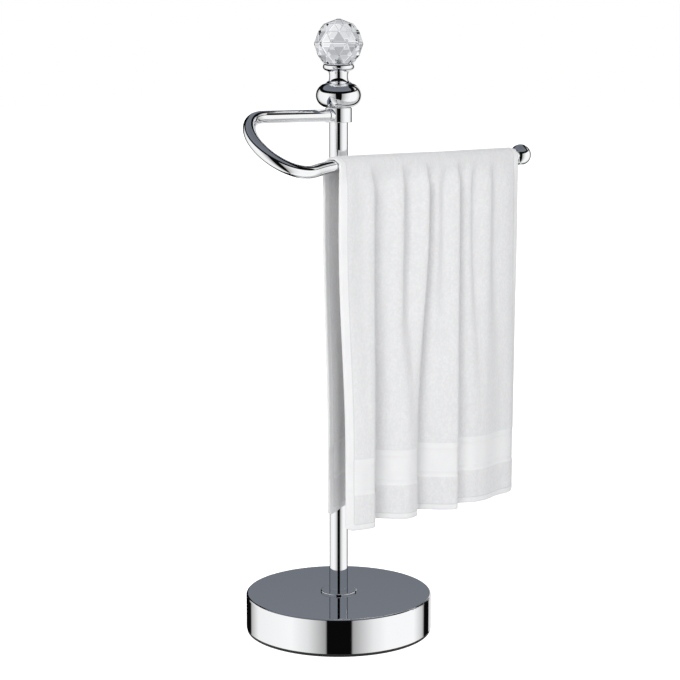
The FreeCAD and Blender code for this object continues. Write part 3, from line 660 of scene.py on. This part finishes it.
def make_towel():
    """White terry towel: a closed sheet with rounded edges, woven bands, and hems all round."""
    columns, rows, points, places = towel_points()
    wide, long = len(columns), len(rows)
    width = columns[-1]
    front_length = BAR.z - (HEM_LEFT + HEM_RIGHT) / 2

    def at(i, j):
        return points[min(max(i, 0), wide - 1) * long + min(max(j, 0), long - 1)]

    mesh = bmesh.new()
    cloth = mesh.verts.layers.float_vector.new("cloth")
    zones = mesh.verts.layers.float_vector.new("zones")
    outer, inner = {}, {}
    for i in range(wide):
        for j in range(long):
            across, along = places[i * long + j]
            side, end = min(across, width - across), min(along, CLOTH_LENGTH - along)
            normal = (at(i + 1, j) - at(i - 1, j)).cross(at(i, j + 1) - at(i, j - 1)).normalized()
            from_ridge = abs(along - front_length - REST_HALF)
            over_bar = 1 - smooth((from_ridge - PRESSED_HALF) / PRESSED_FADE)
            half = half_thickness(side, end, over_bar)
            edge = min(side, end)
            if edge < EDGE_ROUND:
                half *= math.sqrt(1 - (1 - edge / EDGE_ROUND) ** 2)
            pile = 1.0
            if side < SIDE_HEM_WIDTH or end < HEM_WIDTH or BAND_LOW < end < BAND_HIGH:
                pile = 0.0
            # the line along each hem: a groove in the bump, and painted shade in the colour
            seam_groove_shade = max(
                1 - abs(end - HEM_WIDTH) / SEAM if side > SIDE_HEM_WIDTH else 0,
                1 - abs(side - SIDE_HEM_WIDTH) / SEAM if end > HEM_WIDTH else 0,
                0,
            )
            sides = (outer,) if edge == 0 else (outer, inner)
            for made, way in zip(sides, (1, -1)):
                vert = mesh.verts.new(at(i, j) + normal * half * way)
                vert[cloth] = (across, along, 0.0)
                vert[zones] = (pile, seam_groove_shade, 0.0)
                made[i, j] = vert
            if edge == 0:
                inner[i, j] = outer[i, j]
    for i in range(wide - 1):
        for j in range(long - 1):
            ring = [(i, j), (i + 1, j), (i + 1, j + 1), (i, j + 1)]
            mesh.faces.new([outer[key] for key in ring])
            mesh.faces.new([inner[key] for key in reversed(ring)])
    for face in mesh.faces:
        face.smooth = True
    data = bpy.data.meshes.new("towel_cloth")
    mesh.to_mesh(data)
    mesh.free()
    piece = bpy.data.objects.new("towel_cloth", data)
    scene.collection.objects.link(piece)
    return piece


def terry():
    """White cotton: looped pile with painted shade where it lies low, smooth woven bands and hems, and a row
    of stitches along each hem, in a groove darkened with painted shade.
    """
    made, tree, shader = material("terry_cotton")
    cloth = tree.add("ShaderNodeAttribute", {"attribute_name": "cloth"}).outputs["Vector"]
    zones = tree.add("ShaderNodeAttribute", {"attribute_name": "zones"}).outputs["Vector"]
    zones = tree.add("ShaderNodeSeparateXYZ", i0=zones)
    pile = tree.map_range(zones.outputs["X"], 0.35, 0.65, 0.0, 1.0)
    rows = tree.add("ShaderNodeMapping", Vector=cloth, Scale=(1.0, 0.62, 1.0)).outputs[0]
    loops = tree.add("ShaderNodeTexVoronoi", {"feature": "SMOOTH_F1"}, Vector=rows, Scale=700.0,
                     Randomness=0.8).outputs["Distance"]
    tufts = tree.noise(1500, 3, 0.6, rows)
    combed = tree.add("ShaderNodeMapping", Vector=cloth, Scale=(1.0, 0.2, 1.0)).outputs[0]
    lie = tree.noise(260, 3, 0.55, combed)
    pile_height = tree.math("ADD", tree.math("MULTIPLY", loops, -0.8), tree.math("MULTIPLY", tufts, 0.4))
    pile_height = tree.math("ADD", pile_height, tree.math("MULTIPLY", lie, 0.7))
    across = tree.add("ShaderNodeSeparateXYZ", i0=cloth)
    warp = tree.math("SINE", tree.math("MULTIPLY", across.outputs["X"], 2 * math.pi / WARP))
    weft = tree.math("SINE", tree.math("MULTIPLY", across.outputs["Y"], 2 * math.pi / WEFT))
    weave = tree.math("MULTIPLY", tree.math("MULTIPLY", warp, weft), 0.12)
    height = tree.add("ShaderNodeMix", {"data_type": "FLOAT"}, i0=pile, i2=weave, i3=pile_height).outputs[0]
    dashes = tree.math("ADD", across.outputs["X"], across.outputs["Y"])
    dashes = tree.math("SINE", tree.math("MULTIPLY", dashes, 2 * math.pi / STITCH))
    dashes = tree.map_range(dashes, -0.4, 0.1, 0.0, 1.0)
    stitch = tree.math("MULTIPLY", zones.outputs["Y"], dashes)
    height = tree.math("SUBTRACT", height, tree.math("MULTIPLY", zones.outputs["Y"], 1.2))
    height = tree.math("ADD", height, tree.math("MULTIPLY", stitch, 0.9))
    tree.feed(shader, "Normal", tree.bump(height, 0.4, 0.0004))
    # painted shade: the pile is coloured darker where it lies low, in the hollows between the loops
    painted_pile_shade = tree.ramp(pile_height, [(0.05, (0.76, 0.76, 0.765)), (0.6, (0.83, 0.83, 0.835))])
    woven = tree.ramp(tree.noise(60, 3, 0.6, rows), [(0.3, (0.83, 0.83, 0.835)), (0.7, (0.87, 0.87, 0.872))])
    colour = tree.mix(pile, woven, painted_pile_shade)
    # painted shade: the groove along each hem is coloured darker
    colour = tree.mix(zones.outputs["Y"], colour, (0.68, 0.68, 0.69, 1))
    tree.feed(shader, "Base Color", colour)
    tree.feed(shader, "Roughness", tree.map_range(pile, 0.0, 1.0, 0.72, 0.95))
    shader.inputs["Specular IOR Level"].default_value = 0.25
    shader.inputs["Sheen Weight"].default_value = 0.35
    shader.inputs["Sheen Roughness"].default_value = 0.6
    return made


towel = make_towel()
towel.data.materials.append(terry())
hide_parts("towel")
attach(towel, "towel")
